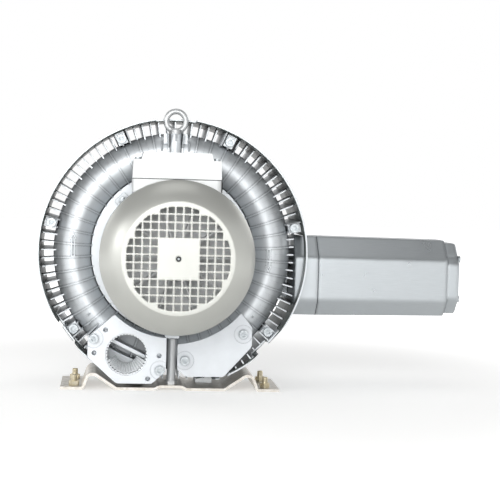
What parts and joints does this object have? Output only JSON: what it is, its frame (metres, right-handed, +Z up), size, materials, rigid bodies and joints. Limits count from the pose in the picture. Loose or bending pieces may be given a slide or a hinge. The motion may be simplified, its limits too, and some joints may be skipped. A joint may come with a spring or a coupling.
{
  "type": "side channel blower",
  "caption": "Side channel blower with a finned ring casing, coaxial electric motor with a fan cowl, screwed inlet port, foot bracket and an outlet silencer box.",
  "frame": {"origin": "midway between the two mounting holes of the foot bracket, on the floor plane", "axes": "+Z up, +X towards the silencer, +Y back along the motor axis from the fan cowl"},
  "size_m": [0.612, 0.296, 0.399],
  "materials": {
    "cast_aluminium": "satin",
    "silencer_casting": "satin",
    "silencer_extrusion": "brushed",
    "cowl_paint": "satin",
    "box_paint": "satin",
    "zinc_steel": "zinc plated",
    "yellow_zinc": "yellow zinc plated",
    "bracket_steel": "galvanised",
    "pillar_steel": "satin",
    "bearing_steel": "polished",
    "shaft_steel": "turned",
    "core_steel": "laminated",
    "winding_copper": "varnished",
    "impeller_aluminium": "cast",
    "black_plastic": "moulded",
    "seal_rubber": "moulded",
    "gasket_fibre": "pressed",
    "foam": "open cell",
    "perforated_tube": "galvanised",
    "terminal_brass": "turned",
    "liner_aluminium": "turned"
  },
  "bodies": {
    "base": {"base_bracket": "bracket_steel", "blank_flange": "cast_aluminium", "blank_flange_screws": "zinc_steel", "blank_gasket": "gasket_fibre", "bracket_screws": "zinc_steel", "cable_entry_plugs": "black_plastic", "casing_screws": "zinc_steel", "casing_seals": "seal_rubber", "cover_casing": "cast_aluminium", "cowl_screws": "zinc_steel", "drive_bearing_outer": "bearing_steel", "end_shield": "cast_aluminium", "end_shield_screws": "zinc_steel", "fan_bearing_outer": "bearing_steel", "fan_cowl": "cowl_paint", "foot_nuts": "yellow_zinc", "foot_studs": "yellow_zinc", "front_casing": "cast_aluminium", "inlet_flange": "cast_aluminium", "inlet_flange_screws": "zinc_steel", "inlet_gasket": "gasket_fibre", "lid_gasket": "seal_rubber", "lid_screws": "zinc_steel", "lifting_eye": "pillar_steel", "middle_casing": "cast_aluminium", "motor_frame": "cast_aluminium", "motor_screws": "zinc_steel", "pillar_screw": "zinc_steel", "port_liner": "liner_aluminium", "preload_spring": "zinc_steel", "shaft_seal": "seal_rubber", "silencer_adapter": "silencer_casting", "silencer_body": "silencer_extrusion", "silencer_end_cap": "silencer_casting", "silencer_foam": "foam", "silencer_gasket": "gasket_fibre", "silencer_screws": "zinc_steel", "silencer_tube": "perforated_tube", "stator_core": "core_steel", "stator_winding": "winding_copper", "support_pillar": "pillar_steel", "terminal_board": "black_plastic", "terminal_box_base": "box_paint", "terminal_box_lid": "box_paint", "terminal_links": "terminal_brass", "terminal_studs": "terminal_brass", "tie_screws": "zinc_steel"},
    "rotor": {"shaft": "shaft_steel", "rotor_core": "core_steel", "cooling_fan": "black_plastic", "fan_circlip": "zinc_steel", "stage_1_impeller": "impeller_aluminium", "stage_2_impeller": "impeller_aluminium", "impeller_spacer": "shaft_steel", "impeller_key": "shaft_steel", "impeller_nut": "shaft_steel", "drive_bearing_inner": "bearing_steel", "fan_bearing_inner": "bearing_steel"},
    "drive_balls": {"drive_bearing_balls": "bearing_steel"},
    "fan_balls": {"fan_bearing_balls": "bearing_steel"}
  },
  "joints": [
    {"name": "rotor_spin", "type": "hinge", "parent": "base", "child": "rotor", "pos_m": [0, 0, 0.194], "axis": [0, 1, 0], "continuous": true},
    {"name": "drive_balls_spin", "type": "hinge", "parent": "base", "child": "drive_balls", "pos_m": [0, 0, 0.194], "axis": [0, 1, 0], "continuous": true},
    {"name": "fan_balls_spin", "type": "hinge", "parent": "base", "child": "fan_balls", "pos_m": [0, 0, 0.194], "axis": [0, 1, 0], "continuous": true}
  ],
  "couplings": [
    {"joint": "drive_balls_spin", "follows": "rotor_spin", "ratio": 0.3824},
    {"joint": "fan_balls_spin", "follows": "rotor_spin", "ratio": 0.4}
  ]
}
